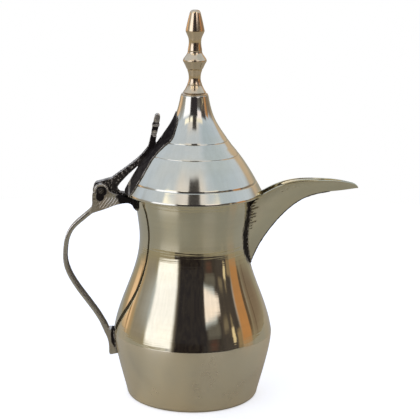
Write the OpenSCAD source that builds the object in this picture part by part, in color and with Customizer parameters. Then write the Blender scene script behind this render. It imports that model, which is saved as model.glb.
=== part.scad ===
// Dallah coffee pot: a raised brass vessel with a beaked pouring spout, a cast
// strap handle and a domed lid that tips back on a pin behind the rim.
// Millimetres. Z is up from the table, X runs from the handle to the spout.
// The origin is the centre of the base on the table.

/* [Vessel] */
// Radius of the flat base
base_r = 45.4; // [44:0.2:48]
// Largest radius, at the seam between the bowl and the upper body
belly_r = 57.4; // [54:0.2:60]
// Height of that seam
belly_z = 48; // [44:0.5:52]
// Smallest radius, at the neck
neck_r = 38.7; // [38:0.1:39.4]
// Height of the neck
neck_z = 117.6; // [114:0.2:121]
// Outer radius of the mouth
mouth_r = 41.2; // [40.6:0.1:41.6]
// Height of the mouth, where the lid rests
mouth_z = 150; // [149:0.5:151]
// Thickness of the vessel's sheet
wall = 1.2; // [1:0.1:1.5]

/* [Spout] */
// Reach of the spout's tip from the vessel's axis
spout_reach = 117.6; // [112:0.2:122]
// Height of the spout's tip above the mouth
spout_rise = 5.2; // [3:0.2:7]
// Width of the open channel's outside at its root
spout_w = 15; // [13:0.5:17]
// Thickness of the spout's sheet
spout_wall = 1.2; // [1:0.1:1.4]
// Radius of the strainer holes behind the spout
strainer_r = 1.4; // [1.2:0.1:1.5]

/* [Handle and hinge] */
// Width of the grip strap
grip_w = 9; // [8:0.5:11]
// Thickness of the grip strap
grip_t = 3.4; // [3:0.1:4]
// Width across the two hinge cheeks
head_w = 13; // [12:0.5:14]
// Distance of the hinge pin behind the vessel's axis
pin_x = 66; // [65:0.2:67]
// Height of the hinge pin above the mouth
pin_rise = 1.5; // [1.3:0.1:1.7]
// Radius of the hinge pin
pin_r = 1.6; // [1.4:0.1:1.8]
// Running clearance around the pin
pin_gap = 0.05; // [0.02:0.01:0.1]
// Width of the lid bracket
bracket_w = 6; // [5.5:0.1:6.4]
// Gap on each side of the bracket between the cheeks
side_gap = 0.3; // [0.2:0.05:0.4]
// How far the lid tips back
lid_open = 100; // [90:1:105]

/* [Lid] */
// Radius of the lid's rim
rim_r = 48.8; // [48.4:0.1:49]
// Radius of the lid's flat top
crown_r = 9.6; // [9.4:0.1:10]
// Height of the lid's flat top above the mouth
crown_rise = 70.3; // [69:0.1:72]
// Thickness of the lid's sheet
lid_wall = 1.1; // [1:0.1:1.3]
// Depth of the turned grooves
groove_d = 0.4; // [0.3:0.05:0.5]
// Thickness of the bracket's leaf on the lid
leaf_t = 0.6; // [0.5:0.1:1]

/* [Finial] */
// Height of the finial above the lid
finial_h = 59.5; // [56:0.5:64]
// Largest radius of the finial's bead
bead_r = 8.4; // [8:0.1:8.8]
// Radius of the stud that holds the finial together
stud_r = 2; // [1.8:0.1:2.2]

/* [Hidden] */
$fn = 96;
brass = [0.78, 0.68, 0.45];
pale_brass = [0.84, 0.78, 0.60];
dark_brass = [0.34, 0.29, 0.20];
steps = 6;

// vessel
base_t = 1.6;
plate_r = base_r - 1.6;
ring_h = 5.5;
collar_z = mouth_z - 6;
ring_r = mouth_r - wall;
ring_bore = ring_r - 1.4;
lap_h = 4;
lap_t = 0.8;

// hinge
pin_z = mouth_z + pin_rise;
knuckle_r = 6;
cheek_r = 5.5;
cheek_back = 6.3;
slot_w = bracket_w + 2 * side_gap;
slot_floor = -7.1;
slot_end = -44.6;
// ends of the bracket's flat heel, from the pin
heel_low = [-5.4, 3.4];
heel_high = [-4, 5.4];
heel_gap = 0.1;

// lid
crown_z = mouth_z + crown_rise;
rim_h = 1.2;
skirt_r = ring_bore - 0.8;
skirt_h = 5.5;

// finial joints, from the lid up
cone_h = 7 * finial_h / 59.5;
spool_h = 11 * finial_h / 59.5;
bead_h = 12.5 * finial_h / 59.5;
base_z = crown_z;
spool_z = base_z + cone_h;
bead_z = spool_z + spool_h;
tip_z = bead_z + bead_h;
top_z = crown_z + finial_h;
washer_t = 1;
nut_h = 3.2;
stud_low = crown_z - lid_wall - washer_t - nut_h - 1.5;
stud_high = tip_z + 14;

// Point at t on the cubic curve with the control points p
function on_curve(p, t) =
  pow(1 - t, 3) * p[0] + 3 * pow(1 - t, 2) * t * p[1] + 3 * (1 - t) * t * t * p[2] + pow(t, 3) * p[3];
function curve(p, n) = [for (i = [0:n]) on_curve(p, i / n)];

// Point at t between p[i] and p[i + 1] on a smooth line through all the points
function on_line(p, i, t) =
  let (a = p[max(i - 1, 0)], b = p[i], c = p[i + 1], d = p[min(i + 2, len(p) - 1)])
  0.5 * (2 * b + (c - a) * t + (2 * a - 5 * b + 4 * c - d) * t * t + (3 * b - a - 3 * c + d) * pow(t, 3));
function smooth(p, n = steps) =
  [for (i = [0:len(p) - 2]) for (s = [0:n - 1]) on_line(p, i, s / n), p[len(p) - 1]];

function reversed(p) = [for (i = [len(p) - 1:-1:0]) p[i]];
function unit(v) = v / norm(v);
// A line of [radius, height] points moved d towards the axis, square to itself
function inset(p, d) =
  [for (i = [0:len(p) - 1])
    let (run = unit(p[min(i + 1, len(p) - 1)] - p[max(i - 1, 0)]))
    p[i] + d * [-run[1], run[0]]];

// The vessel's outside, as [radius, height]
bowl_line = concat(
  curve([[base_r, 0], [base_r + 1.3, 0], [base_r + 2.2, 1.2], [base_r + 2.5, 3]], 6),
  curve([[base_r + 2.7, 4], [base_r + 5.5, 15], [belly_r, belly_z - 11], [belly_r, belly_z]], 14));
body_line = concat(
  curve([[belly_r, belly_z], [belly_r - 3.6, belly_z + 24.8], [neck_r, neck_z - 25.4], [neck_r, neck_z]], 22),
  [for (i = [1:8]) on_curve([[neck_r, neck_z], [neck_r, neck_z + 9],
    [mouth_r, collar_z - 8], [mouth_r, collar_z]], i / 8)],
  [[mouth_r, mouth_z]]);
// Both insides end level with their sheets' edges, where the pieces meet
bowl_inside = concat([for (p = inset(bowl_line, wall)) if (p[1] > base_t + 1 && p[1] < belly_z - 0.5) p],
  [[belly_r - wall, belly_z]]);
body_inside = concat([[belly_r - wall, belly_z]],
  [for (p = inset(body_line, wall)) if (p[1] > belly_z + 0.5) p]);
// Outer radius of the vessel at a height
body_radii = [for (p = concat(bowl_line, body_line)) [p[1], p[0]]];
function vessel_r(z) = lookup(z, body_radii);

module turned(points, colour) {
  color(colour) rotate_extrude($fn = 128) polygon(points);
}

// Everything within the vessel's outer surface
module vessel_volume() {
  rotate_extrude($fn = 128)
    polygon(concat([[0, 0]], bowl_line, body_line, [[0, mouth_z]]));
}

module base_plate() {
  turned([[0, 0], [plate_r, 0], [plate_r, base_t], [0, base_t]], brass);
}

module lower_bowl() {
  // the lap stands inside the upper body, and the two are brazed there
  lap = [for (p = body_inside) if (p[1] < belly_z + lap_h) p];
  lap_foot = belly_r - wall / 2;
  color(brass) rotate_extrude($fn = 128) {
    polygon(concat([[plate_r, 0]], bowl_line, reversed(bowl_inside),
      [[bowl_inside[0][0], base_t], [plate_r, base_t]]));
    polygon(concat([[belly_r - wall - lap_t, belly_z - lap_h], [lap_foot, belly_z - lap_h],
      [lap_foot, belly_z]], lap, reversed(inset(lap, lap_t))));
  }
}

// Two holes low in the spout's narrow root, then three pairs above them
module strainer_holes() {
  hole_z = [107, 113, 119.5, 126, 132.5];
  for (i = [0:len(hole_z) - 1])
    for (side = i < 2 ? [0] : [-1, 1])
      translate([neck_r - 8, side * 2.6, hole_z[i]])
        rotate([0, 90, 0]) cylinder(h = 16, r = strainer_r, $fn = 32);
}

module upper_body() {
  color(brass) difference() {
    rotate_extrude($fn = 128) polygon(concat(body_line, reversed(body_inside)));
    strainer_holes();
  }
}

module mouth_ring() {
  turned([[ring_bore, mouth_z - ring_h], [ring_r, mouth_z - ring_h], [ring_r, mouth_z],
    [ring_bore + 0.4, mouth_z], [ring_bore, mouth_z - 0.4]], brass);
}

// Spout: the keel and the rim from the body out to the tip, as [x, z], and the
// half width of the rim at the same places
tip_z_spout = mouth_z + spout_rise;
keel_line = smooth([[41.3, 97.8], [47, 111.2], [56, 125.1], [67, 137.6], [79, 146.3], [92, 150.4],
  [106, 152.2], [spout_reach, tip_z_spout - 1.2]]);
rim_line = smooth([[40, 140.8], [44.4, 146.2], [50, 150.5], [60, 155.6], [72, 158.9], [87, 159.9],
  [103, 159.3], [spout_reach, tip_z_spout + 1.2]]);
half_widths = [for (w = smooth([[1, 0], [1, 0], [0.94, 0], [0.86, 0], [0.78, 0], [0.64, 0],
  [0.42, 0], [0.14, 0]])) w[0] * spout_w / 2];
spout_rows = len(keel_line);
spout_cols = 9;

// Point on the spout's side: i runs out along it, j from the keel up to the rim
function spout_point(i, j, skin, side) =
  let (
    t = j / spout_cols,
    deep = norm(rim_line[i] - keel_line[i]),
    keel_in = min(2 * skin, 0.35 * deep) / deep,
    half = half_widths[i] - min(skin, 0.45 * half_widths[i]),
    down = keel_in + (1 - keel_in) * t,
    p = keel_line[i] + (rim_line[i] - keel_line[i]) * down,
    y = half * pow(sin(90 * t), 0.85),
    x = i == 0 ? sqrt(pow(vessel_r(p[1]), 2) - y * y) : p[0])
  [x, side * y, p[1]];

module spout_half(side) {
  rows = spout_rows;
  cols = spout_cols + 1;
  count = rows * cols;
  points = [for (skin = [0, spout_wall]) for (i = [0:rows - 1]) for (j = [0:cols - 1])
    spout_point(i, j, skin, side)];
  function at(skin, i, j) = skin * count + i * cols + j;
  quads = concat(
    [for (i = [0:rows - 2]) for (j = [0:cols - 2])
      [at(0, i, j), at(0, i + 1, j), at(0, i + 1, j + 1), at(0, i, j + 1)]],
    [for (i = [0:rows - 2]) for (j = [0:cols - 2])
      [at(1, i, j), at(1, i, j + 1), at(1, i + 1, j + 1), at(1, i + 1, j)]],
    [for (i = [0:rows - 2]) [at(0, i, 0), at(1, i, 0), at(1, i + 1, 0), at(0, i + 1, 0)]],
    [for (i = [0:rows - 2])
      [at(0, i, cols - 1), at(0, i + 1, cols - 1), at(1, i + 1, cols - 1), at(1, i, cols - 1)]],
    [for (j = [0:cols - 2]) [at(0, 0, j), at(0, 0, j + 1), at(1, 0, j + 1), at(1, 0, j)]],
    [for (j = [0:cols - 2])
      [at(0, rows - 1, j), at(1, rows - 1, j), at(1, rows - 1, j + 1), at(0, rows - 1, j + 1)]]);
  triangles = [for (q = quads) for (f = [[q[0], q[1], q[2]], [q[0], q[2], q[3]]]) f];
  polyhedron(points, side > 0 ? triangles : [for (f = triangles) reversed(f)]);
}

module spout_left_half() {
  color(pale_brass) spout_half(1);
}

module spout_right_half() {
  color(pale_brass) spout_half(-1);
}

// A flat outline in the X-Z plane, given thickness across Y
module across(width) {
  rotate([90, 0, 0]) linear_extrude(width, center = true) children();
}

module at_pin() {
  translate([-pin_x, 0, pin_z]) children();
}

// Middle line of the grip, from the hinge cheeks down to the foot
grip_line = concat(
  curve([[-pin_x - 4, 138.6], [-85.2, 124.9], [-91.9, 124], [-92.3, 102.6]], 12),
  [for (i = [1:14]) on_curve([[-92.3, 102.6], [-92.8, 83.4], [-69.9, 66.9], [-62.2, 45.6]], i / 14)]);

// The bracket in the closed position: knuckle, arm, bar under the rim and thumb tab
module bracket_outline() {
  difference() {
    union() {
      translate([-pin_x, pin_z]) circle(knuckle_r);
      polygon(concat(
        [heel_low + [-pin_x, pin_z]],
        smooth([heel_high + [-pin_x, pin_z], [-66.5, 157.9], [-58.7, 160.1]], 4),
        smooth([[-54.4, 163.4], [-46.6, 169.3], [-39.4, 175.2], [-33.9, 181.4], [-31.8, 186.5],
          [-29.2, 200]], 4),
        curve([[-28.4, 204], [-28, 207.4], [-24.1, 207.6], [-24.2, 203.5]], 6),
        smooth([[-24.6, 201], [-26.7, 190], [-27.2, 185.6], [-25.2, 183.2], [-20, 183]], 4),
        [[-20, mouth_z + rim_h], [-46, mouth_z], [-46, mouth_z - 2.6]],
        smooth([[-50, mouth_z - 3], [-58, mouth_z - 3.6], [-pin_x + 1, pin_z - knuckle_r + 0.2]], 4)));
    }
    bracket_window();
  }
}

module bracket_window() {
  polygon(concat(
    smooth([[-40, 168.9], [-45.9, 163.6], [-51.6, 157.6], [-54.2, 154.2]], 4),
    smooth([[-54.5, 152.6], [-53.4, 150.5], [-50.4, 149.7], [-48.6, 150]], 3),
    [[-45, mouth_z + rim_h], [-38, 168.4]]));
}

// Hinge end of the handle, before the slot for the bracket is cut
module head_outline() {
  translate([-pin_x, pin_z]) circle(cheek_r);
  polygon(concat(
    [[-pin_x - cheek_r, pin_z], [-pin_x - cheek_back, pin_z - 3]],
    [[-pin_x - cheek_back, 142], [-pin_x - 7.4, 138.4]],
    smooth([[-73.5, 134.4], [-63.6, 138], [-54.7, 141.4], [-47.2, 142.6], [-43.6, 141], [-40.4, 136.6]], 4),
    [[-36, 136.6], [-36, mouth_z - 4]],
    smooth([[-45.5, mouth_z - 4], [-49.5, mouth_z - 2.8], [-57, pin_z - 1.6], [-pin_x + cheek_r, pin_z]], 4)));
}

function turned_by(p, a) = [p[0] * cos(a) - p[1] * sin(a), p[0] * sin(a) + p[1] * cos(a)];

// Room between the cheeks: the knuckle turns in it, and the bracket's flat heel
// lands on the sloping end of the web when the lid is fully back
module slot_outline() {
  low = turned_by(heel_low, lid_open);
  high = turned_by(heel_high, lid_open);
  slope = (high[1] - low[1]) / (high[0] - low[0]);
  function web_top(x) = low[1] + slope * (x - low[0]) - heel_gap;
  translate([-pin_x, pin_z]) {
    circle(knuckle_r + side_gap);
    polygon([[0, slot_floor], [slot_end + pin_x, slot_floor], [slot_end + pin_x, 12], [-9, 12],
      [-9, web_top(-9)], [low[0] + 0.5, web_top(low[0] + 0.5)]]);
  }
}

// Strap with its two edges half the thickness to each side of the grip line
module grip_outline() {
  polygon(concat(inset(grip_line, grip_t / 2), reversed(inset(grip_line, -grip_t / 2))));
}

module foot_outline() {
  polygon(concat(smooth([[-63.9, 45.6], [-62.1, 41], [-61.1, 36.5], [-60.9, 31]], 4),
    [[-60.7, 29.4], [-59.9, 28.6], [-50, 30.4], [-50, 48], [-60.4, 48]]));
}

module handle() {
  color(dark_brass) difference() {
    union() {
      across(grip_w) grip_outline();
      across(grip_w) foot_outline();
      across(head_w) head_outline();
      root_pad();
    }
    across(slot_w) slot_outline();
    vessel_volume();
    at_pin() rotate([90, 0, 0]) cylinder(h = 2 * head_w, r = pin_r, center = true, $fn = 48);
  }
}

// Saddle that spreads the handle's upper end on the neck
module root_pad() {
  pad_top = mouth_z - 3;
  intersection() {
    rotate_extrude($fn = 128) polygon([[mouth_r - 5, 138], [mouth_r + 0.8, 138],
      [mouth_r + 2.6, 140], [mouth_r + 2.6, pad_top], [mouth_r - 5, pad_top]]);
    translate([-mouth_r - 10, -10, 130]) cube([20, 20, 30]);
  }
}

module hinge_pin() {
  head_h = 0.7;
  color(brass) at_pin() rotate([90, 0, 0]) {
    cylinder(h = head_w, r = pin_r, center = true, $fn = 48);
    for (side = [-1, 1])
      scale([1, 1, side]) translate([0, 0, head_w / 2])
        rotate_extrude($fn = 48) polygon([[0, 0], [pin_r + 0.7, 0], [pin_r + 0.4, head_h / 2],
          [pin_r - 0.5, head_h], [0, head_h]]);
  }
}

// The lid's outside from the rim to the crown, with a groove cut at each level
lid_curve = concat(
  curve([[rim_r, mouth_z + rim_h], [rim_r - 7.5, 165.2], [35.1, 175], [27.1, 184]], 12),
  [for (i = [1:12]) on_curve([[27.1, 184], [15.6, 200], [12.8, 203.5], [crown_r + 0.3, crown_z - 1]], i / 12)]);
groove_z = [mouth_z + 8.4, mouth_z + 28.2, mouth_z + 38];

module lid_outside() {
  polygon(concat([[0, mouth_z], [rim_r - 0.3, mouth_z], [rim_r, mouth_z + 0.3]], lid_curve,
    [[crown_r - 0.3, crown_z], [0, crown_z]]));
}

lid_radii = [for (p = lid_curve) [p[1], p[0]]];
// The grooves: a notch with a level floor edge that faces up
module lid_grooves() {
  for (z = groove_z) {
    r = lookup(z, lid_radii);
    polygon([[r - groove_d, z], [r + 1, z - 0.2], [r + 1, z + 1.5], [r - groove_d - 0.1, z + 0.5]]);
  }
}

module lid_shell() {
  hollow = inset(lid_curve, lid_wall);
  hollow_top = [for (p = hollow) if (p[1] < crown_z - lid_wall) p];
  color(pale_brass) difference() {
    rotate_extrude($fn = 128) difference() {
      lid_outside();
      lid_grooves();
      polygon(concat([[0, mouth_z - 1], [rim_r - lid_wall, mouth_z - 1]],
        [[rim_r - lid_wall, mouth_z + rim_h]], [for (p = hollow_top) if (p[1] > mouth_z + rim_h + 0.2) p],
        [[hollow_top[len(hollow_top) - 1][0], crown_z - lid_wall], [0, crown_z - lid_wall]]));
    }
    translate([0, 0, crown_z - 5]) cylinder(h = 10, r = stud_r, $fn = 48);
  }
}

module lid_bezel() {
  turned([[skirt_r - 1.2, mouth_z - skirt_h], [skirt_r - 0.4, mouth_z - skirt_h],
    [skirt_r, mouth_z - skirt_h + 0.8], [skirt_r, mouth_z], [rim_r - lid_wall, mouth_z],
    [rim_r - lid_wall, mouth_z + rim_h], [skirt_r - 1.2, mouth_z + rim_h]], brass);
}

// Leaf outline as [y, z]: a lobe near the crown, a waist, and a broad foot at the rim
module leaf_outline() {
  side = smooth([[0, 208.5], [7.6, 204.6], [12.4, 197], [16, 190.5], [15.2, 186], [14.8, 182], [16, 176],
    [19, 168], [20.4, 160], [20.8, 154], [18.5, mouth_z]], 4);
  polygon(concat(side, reversed([for (p = side) [-p[0], p[1]]])));
}

module leaf() {
  intersection() {
    rotate_extrude($fn = 128) difference() {
      translate([leaf_t, 0.5 * leaf_t]) lid_outside();
      translate([0, -1]) square([rim_r + 5, mouth_z + 1]);
    }
    rotate([90, 0, -90]) linear_extrude(rim_r + 5) leaf_outline();
  }
}

module lid_bracket() {
  color(dark_brass) difference() {
    union() {
      across(bracket_w) bracket_outline();
      leaf();
    }
    rotate_extrude($fn = 128) difference() {
      lid_outside();
      lid_grooves();
    }
    at_pin() rotate([90, 0, 0]) cylinder(h = 2 * head_w, r = pin_r + pin_gap, center = true, $fn = 48);
  }
}

// Finial pieces: each is turned to its own outline and bored for the stud
module finial_piece(outline, low, high) {
  turned(concat([[stud_r, low]], outline, [[stud_r, high]]), pale_brass);
}

module finial_base() {
  finial_piece([[bead_r + 0.7, base_z], [bead_r + 0.8, base_z + 0.5], [bead_r + 0.5, base_z + 1],
    [bead_r - 0.2, base_z + 1.3], [bead_r - 1, base_z + 2.6], [5.6, spool_z - 0.5],
    [5.2, spool_z]], base_z, spool_z);
}

module finial_spool() {
  finial_piece(concat([[5.4, spool_z]],
    smooth([[5.4, spool_z + 0.6], [4.5, spool_z + 2.6], [4.15, spool_z + 5], [4.4, spool_z + 7.2],
      [5.2, bead_z - 0.9]], 5), [[5.2, bead_z]]), spool_z, bead_z);
}

module finial_bead() {
  edge_z = bead_z + 6;
  finial_piece([[5.6, bead_z], [5.8, bead_z + 0.4], [bead_r - 0.3, edge_z - 0.9], [bead_r, edge_z],
    [bead_r - 0.3, edge_z + 0.9], [5.9, tip_z - 1.9], [5.2, tip_z - 0.5], [5, tip_z]], bead_z, tip_z);
}

module finial_tip() {
  shoulder_z = tip_z + 14.5;
  // the stud ends in a blind hole
  color(pale_brass) rotate_extrude($fn = 128) polygon(concat(
    [[stud_r, tip_z], [5, tip_z]],
    smooth([[5, tip_z + 0.5], [4.4, tip_z + 3.6], [4.3, tip_z + 6.4], [4.7, tip_z + 9.2],
      [5.9, shoulder_z - 2]], 4),
    smooth([[6.5, shoulder_z - 0.5], [6.5, shoulder_z + 0.5], [5.2, shoulder_z + 7.6],
      [4, top_z - 3], [3.6, top_z - 1]], 4),
    smooth([[3, top_z - 0.3], [1.8, top_z - 0.05], [0, top_z]], 4),
    [[0, stud_high], [stud_r, stud_high]]));
}

module finial_stud() {
  color(brass) translate([0, 0, stud_low]) cylinder(h = stud_high - stud_low, r = stud_r, $fn = 48);
}

module finial_washer() {
  high = crown_z - lid_wall;
  turned([[stud_r, high - washer_t], [6, high - washer_t], [6, high], [stud_r, high]], brass);
}

module finial_nut() {
  color(brass) translate([0, 0, crown_z - lid_wall - washer_t - nut_h]) difference() {
    cylinder(h = nut_h, r = 4, $fn = 6);
    translate([0, 0, -1]) cylinder(h = nut_h + 2, r = stud_r, $fn = 48);
  }
}

base_plate();
lower_bowl();
upper_body();
mouth_ring();
spout_left_half();
spout_right_half();
handle();
hinge_pin();
lid_bracket();
lid_shell();
lid_bezel();
finial_base();
finial_spool();
finial_bead();
finial_tip();
finial_stud();
finial_washer();
finial_nut();
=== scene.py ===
"""Dallah coffee pot: the visible pieces, their finishes, the floor, the light and the camera.

Shapes are worked out in millimetres, in the frame's own axes, and become metres in make().
"""
import math

import bmesh
import bpy
import numpy as np
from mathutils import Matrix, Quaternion, Vector, noise


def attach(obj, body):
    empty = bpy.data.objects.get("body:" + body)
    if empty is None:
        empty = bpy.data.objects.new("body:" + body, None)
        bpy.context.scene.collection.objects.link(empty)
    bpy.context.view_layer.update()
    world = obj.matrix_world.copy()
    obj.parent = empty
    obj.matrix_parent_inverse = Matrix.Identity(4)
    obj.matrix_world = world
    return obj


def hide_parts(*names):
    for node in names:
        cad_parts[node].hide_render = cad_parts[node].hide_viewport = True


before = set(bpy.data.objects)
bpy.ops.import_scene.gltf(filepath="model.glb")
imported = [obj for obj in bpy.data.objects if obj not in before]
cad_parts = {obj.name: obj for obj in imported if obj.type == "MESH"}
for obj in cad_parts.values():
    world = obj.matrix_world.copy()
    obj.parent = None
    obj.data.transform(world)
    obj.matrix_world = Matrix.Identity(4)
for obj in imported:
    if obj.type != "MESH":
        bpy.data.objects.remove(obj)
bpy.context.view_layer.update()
SCENE = bpy.context.scene
MM = 0.001

# ---------------------------------------------------------------- sizes, in mm
BASE_R, BELLY_R, BELLY_Z = 45.4, 57.4, 48.0
NECK_R, NECK_Z = 38.7, 117.6
MOUTH_R, MOUTH_Z, COLLAR_Z = 41.2, 150.0, 144.0
WALL = 1.2
SPOUT_REACH, SPOUT_TIP_Z, SPOUT_HALF = 117.6, 155.2, 7.5
RIM_R, RIM_TOP_Z = 48.8, 151.2
CROWN_R, CROWN_Z = 9.6, 220.3
LID_WALL = 1.1
SKIRT_R = 37.8
PIN = np.array([-66.0, 151.5])
HEAD_W = 13.0
STUD_R = 2.0


# ---------------------------------------------------------------- curves
def bezier(points, count):
    """count + 1 points along a cubic curve."""
    a, b, c, d = np.array(points, float)
    t = np.linspace(0, 1, count + 1)[:, None]
    return (1 - t) ** 3 * a + 3 * (1 - t) ** 2 * t * b + 3 * (1 - t) * t * t * c + t ** 3 * d


def smooth(points, count):
    """A line through all the points, with count steps from each one to the next."""
    p = np.array(points, float)
    p = np.vstack([p[:1], p, p[-1:]])
    t = np.linspace(0, 1, count, endpoint=False)[:, None]
    runs = [
        0.5 * (2 * b + (c - a) * t + (2 * a - 5 * b + 4 * c - d) * t ** 2
               + (3 * b - a - 3 * c + d) * t ** 3)
        for a, b, c, d in zip(p, p[1:], p[2:], p[3:])
    ]
    return np.vstack([*runs, p[-1:]])


def unit(v):
    return v / max(np.linalg.norm(v), 1e-9)


def eased(points, closed=True):
    """The line with a small round at each point that gives a third number, its size."""
    out = []
    flat = [np.array(p[:2], float) for p in points]
    last = len(points) - 1
    for i, p in enumerate(points):
        if len(p) < 3 or (not closed and i in (0, last)):
            out.append(flat[i])
            continue
        before, after = flat[i - 1] - flat[i], flat[(i + 1) % len(flat)] - flat[i]
        size = min(p[2], 0.45 * np.linalg.norm(before), 0.45 * np.linalg.norm(after))
        a, b = flat[i] + unit(before) * size, flat[i] + unit(after) * size
        out.append(a + unit(before) * 0.3 * size)
        for t in np.linspace(0, 1, 6):
            out.append((1 - t) ** 2 * a + 2 * (1 - t) * t * flat[i] + t * t * b)
        out.append(b + unit(after) * 0.3 * size)
    return out


def inset(line, depth):
    """The line moved depth towards the axis, square to itself."""
    run = np.gradient(np.array(line, float), axis=0)
    run /= np.linalg.norm(run, axis=1)[:, None]
    return line + depth * np.stack([-run[:, 1], run[:, 0]], axis=1)


def between(x, low, high):
    """0 at low and below, 1 at high and above, smooth between them."""
    t = np.clip((x - low) / (high - low), 0, 1)
    return t * t * (3 - 2 * t)


# ---------------------------------------------------------------- meshes
def make(name, points, faces, finishes, body, nodes, sharp=40):
    """A piece from points in mm, which rides on a body and stands for some CAD nodes."""
    mesh = bpy.data.meshes.new(name)
    mesh.from_pydata(np.asarray(points) * MM, [], faces)
    piece = bpy.data.objects.new(name, mesh)
    SCENE.collection.objects.link(piece)
    bm = bmesh.new()
    bm.from_mesh(mesh)
    bmesh.ops.remove_doubles(bm, verts=bm.verts, dist=1e-7)
    bmesh.ops.recalc_face_normals(bm, faces=bm.faces)
    bm.to_mesh(mesh)
    bm.free()
    for finish in finishes:
        mesh.materials.append(finish)
    soften(mesh, sharp)
    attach(piece, body)
    if nodes:
        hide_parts(*nodes)
    return piece


def soften(mesh, sharp):
    mesh.polygons.foreach_set("use_smooth", np.ones(len(mesh.polygons), bool))
    mesh.set_sharp_from_angle(angle=math.radians(sharp))


def turn(name, profile, finishes, body, nodes, segments=224, second=None):
    """A closed [radius, height] profile turned about the pot's axis.

    second says which faces take the second finish, from their profile's point.
    """
    line = np.array(eased(profile))
    count = len(line)
    angle = np.linspace(0, 2 * math.pi, segments, endpoint=False)
    points = np.stack([
        np.outer(np.cos(angle), line[:, 0]),
        np.outer(np.sin(angle), line[:, 0]),
        np.outer(np.ones(segments), line[:, 1]),
    ], axis=2).reshape(-1, 3)
    faces = [
        (s * count + i, s * count + (i + 1) % count,
         (s + 1) % segments * count + (i + 1) % count, (s + 1) % segments * count + i)
        for s in range(segments) for i in range(count)
    ]
    piece = make(name, points, faces, finishes, body, nodes)
    if second:
        for face in piece.data.polygons:
            c, n = face.center / MM, face.normal
            outward = (c.x * n.x + c.y * n.y) / max(math.hypot(c.x, c.y), 1e-6)
            face.material_index = int(second(math.hypot(c.x, c.y), c.z, outward))
    return piece


def solid_points(node, voxel):
    """A CAD node's solid as an even net of small faces: its points in mm, its edges and its faces."""
    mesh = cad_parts[node].data.copy()
    bm = bmesh.new()
    bm.from_mesh(mesh)
    bmesh.ops.scale(bm, vec=(1 / MM,) * 3, verts=bm.verts)
    bmesh.ops.remove_doubles(bm, verts=bm.verts, dist=1e-3)
    bm.to_mesh(mesh)
    bm.free()
    rough = bpy.data.objects.new("rough", mesh)
    SCENE.collection.objects.link(rough)
    remesh = rough.modifiers.new("remesh", "REMESH")
    remesh.mode = "VOXEL"
    remesh.voxel_size = voxel
    net = bpy.data.meshes.new_from_object(rough.evaluated_get(bpy.context.evaluated_depsgraph_get()))
    points = np.empty(len(net.vertices) * 3)
    net.vertices.foreach_get("co", points)
    edges = np.empty(len(net.edges) * 2, int)
    net.edges.foreach_get("vertices", edges)
    faces = [tuple(face.vertices) for face in net.polygons]
    bpy.data.objects.remove(rough)
    bpy.data.meshes.remove(mesh)
    bpy.data.meshes.remove(net)
    return points.reshape(-1, 3), edges.reshape(-1, 2), faces


def relax(points, edges, rounds, pull=0.5, push=0.0):
    """Smooths a net. push after each pull keeps its volume."""
    count = len(points)
    degree = np.bincount(edges.ravel(), minlength=count)[:, None]
    for _ in range(rounds):
        for step in (pull, -push):
            if step:
                mean = np.stack([
                    np.bincount(edges[:, 0], points[edges[:, 1], k], count)
                    + np.bincount(edges[:, 1], points[edges[:, 0], k], count)
                    for k in range(3)
                ], axis=1) / degree
                points = points + step * (mean - points)
    return points


def face_normals(points, faces):
    """A normal for each point, from the quads that meet there."""
    quads = np.array([f if len(f) == 4 else (*f, f[-1]) for f in faces])
    p = points[quads]
    normal = np.cross(p[:, 2] - p[:, 0], p[:, 3] - p[:, 1])
    total = np.zeros_like(points)
    for k in range(3):
        total[:, k] = sum(np.bincount(quads[:, j], normal[:, k], len(points)) for j in range(4))
    return total / np.maximum(np.linalg.norm(total, axis=1), 1e-9)[:, None]


def lumps(points, size, seed=0.0):
    """Smooth noise from about -1 to 1, with features of that size in mm."""
    return np.array([noise.noise(Vector(p) / size + Vector((seed, 0, 0))) for p in points])


# ---------------------------------------------------------------- shader trees
class Tree:
    """Adds shader nodes in one line each. A value may be a number, a colour or another node's output."""

    def __init__(self, owner):
        owner.use_nodes = True
        self.nodes, self.links = owner.node_tree.nodes, owner.node_tree.links
        self.nodes.clear()

    def put(self, socket, value):
        if isinstance(value, bpy.types.NodeSocket):
            self.links.new(value, socket)
        else:
            socket.default_value = value

    def add(self, kind, *values, settings=None, **named):
        made = self.nodes.new("ShaderNode" + kind)
        for key, value in (settings or {}).items():
            setattr(made, key, value)
        for i, value in enumerate(values):
            self.put(made.inputs[i], value)
        for key, value in named.items():
            self.put(made.inputs[key.replace("_", " ")], value)
        return made

    def math(self, operation, *values):
        return self.add("Math", *values, settings={"operation": operation}).outputs[0]

    def fade(self, x, low, high, start=0.0, end=1.0):
        """start below low, end above high, smooth between them."""
        ends = {"From_Min": low, "From_Max": high, "To_Min": start, "To_Max": end}
        return self.add("MapRange", x, settings={"interpolation_type": "SMOOTHSTEP"}, **ends).outputs[0]

    def mix(self, share, a, b):
        made = self.add("Mix", share, settings={"data_type": "RGBA"})
        self.put(made.inputs[6], a)
        self.put(made.inputs[7], b)
        return made.outputs[2]

    def scaled(self, vector, by):
        return self.add("VectorMath", vector, by, settings={"operation": "MULTIPLY"}).outputs[0]

    def noise(self, vector, scale, detail=3.0, twist=0.0):
        return self.add("TexNoise", Vector=vector, Scale=scale, Detail=detail, Distortion=twist).outputs[0]

    def bump(self, height, depth, normal=None):
        """depth is in mm."""
        made = self.add("Bump", Strength=1.0, Distance=depth * MM, Height=height)
        if normal:
            self.put(made.inputs["Normal"], normal)
        return made.outputs[0]


def rgba(colour):
    return (*colour, 1.0)


BRASS = (0.80, 0.70, 0.45)
PALE = (0.83, 0.76, 0.56)
TAN = (0.50, 0.36, 0.20)
DARK = (0.017, 0.013, 0.012)
RUBBED_AND_HIGHLIT = (0.95, 0.88, 0.76)


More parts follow.
